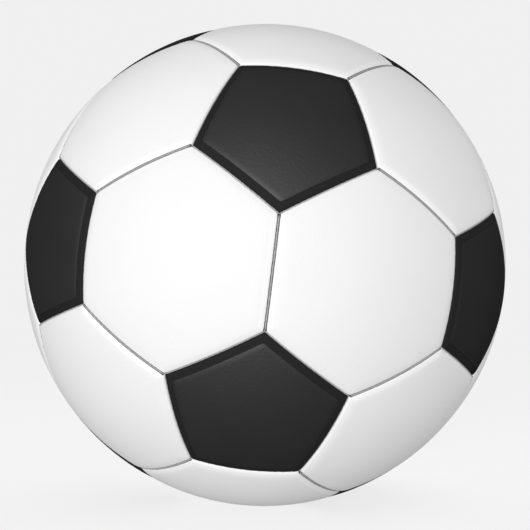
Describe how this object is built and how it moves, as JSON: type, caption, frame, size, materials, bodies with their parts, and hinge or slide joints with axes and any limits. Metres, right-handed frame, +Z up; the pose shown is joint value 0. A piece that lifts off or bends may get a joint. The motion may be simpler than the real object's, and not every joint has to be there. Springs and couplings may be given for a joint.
{
  "type": "soccer ball",
  "caption": "Round sewn sports ball with dished black five-sided and white six-sided panels, an inflated rubber bladder inside and a self-sealing valve.",
  "frame": {"origin": "centre of the ball", "axes": "+Z up and -Y towards the viewer, out through the middle of the front seam between two white panels; +X to the viewer's right"},
  "size_m": [0.2194, 0.2192, 0.2192],
  "materials": {
    "white_skin": "satin",
    "black_skin": "satin",
    "grey_thread": "matte",
    "bladder_rubber": "matte",
    "valve_rubber": "satin",
    "valve_core_rubber": "satin",
    "patch_rubber": "matte",
    "backing_cloth": "matte"
  },
  "bodies": {
    "ball": {"black_panel_01": "black_skin", "black_panel_02": "black_skin", "black_panel_03": "black_skin", "black_panel_04": "black_skin", "black_panel_05": "black_skin", "black_panel_06": "black_skin", "black_panel_07": "black_skin", "black_panel_08": "black_skin", "black_panel_09": "black_skin", "black_panel_10": "black_skin", "black_panel_11": "black_skin", "black_panel_12": "black_skin", "white_panel_01": "white_skin", "white_panel_02": "white_skin", "white_panel_03": "white_skin", "white_panel_04": "white_skin", "white_panel_05": "white_skin", "white_panel_06": "white_skin", "white_panel_07": "white_skin", "white_panel_08": "white_skin", "white_panel_09": "white_skin", "white_panel_10": "white_skin", "white_panel_11": "white_skin", "white_panel_12": "white_skin", "white_panel_13": "white_skin", "white_panel_14": "white_skin", "white_panel_15": "white_skin", "white_panel_16": "white_skin", "white_panel_17": "white_skin", "white_panel_18": "white_skin", "white_panel_19": "white_skin", "valve_panel": "white_skin", "seam_thread_01": "grey_thread", "seam_thread_02": "grey_thread", "seam_thread_03": "grey_thread", "seam_thread_04": "grey_thread", "seam_thread_05": "grey_thread", "seam_thread_06": "grey_thread", "seam_thread_07": "grey_thread", "seam_thread_08": "grey_thread", "seam_thread_09": "grey_thread", "seam_thread_10": "grey_thread", "seam_thread_11": "grey_thread", "seam_thread_12": "grey_thread", "bladder": "bladder_rubber", "valve_body": "valve_rubber", "valve_patch": "patch_rubber", "valve_hole_backing": "backing_cloth", "balance_patch": "patch_rubber"},
    "valve_core": {"valve_core": "valve_core_rubber"}
  },
  "joints": [
    {"name": "valve_core_pull", "type": "slide", "parent": "ball", "child": "valve_core", "axis": [-0.5027, 0.5774, 0.6434], "range_m": [0, 0.025]}
  ]
}
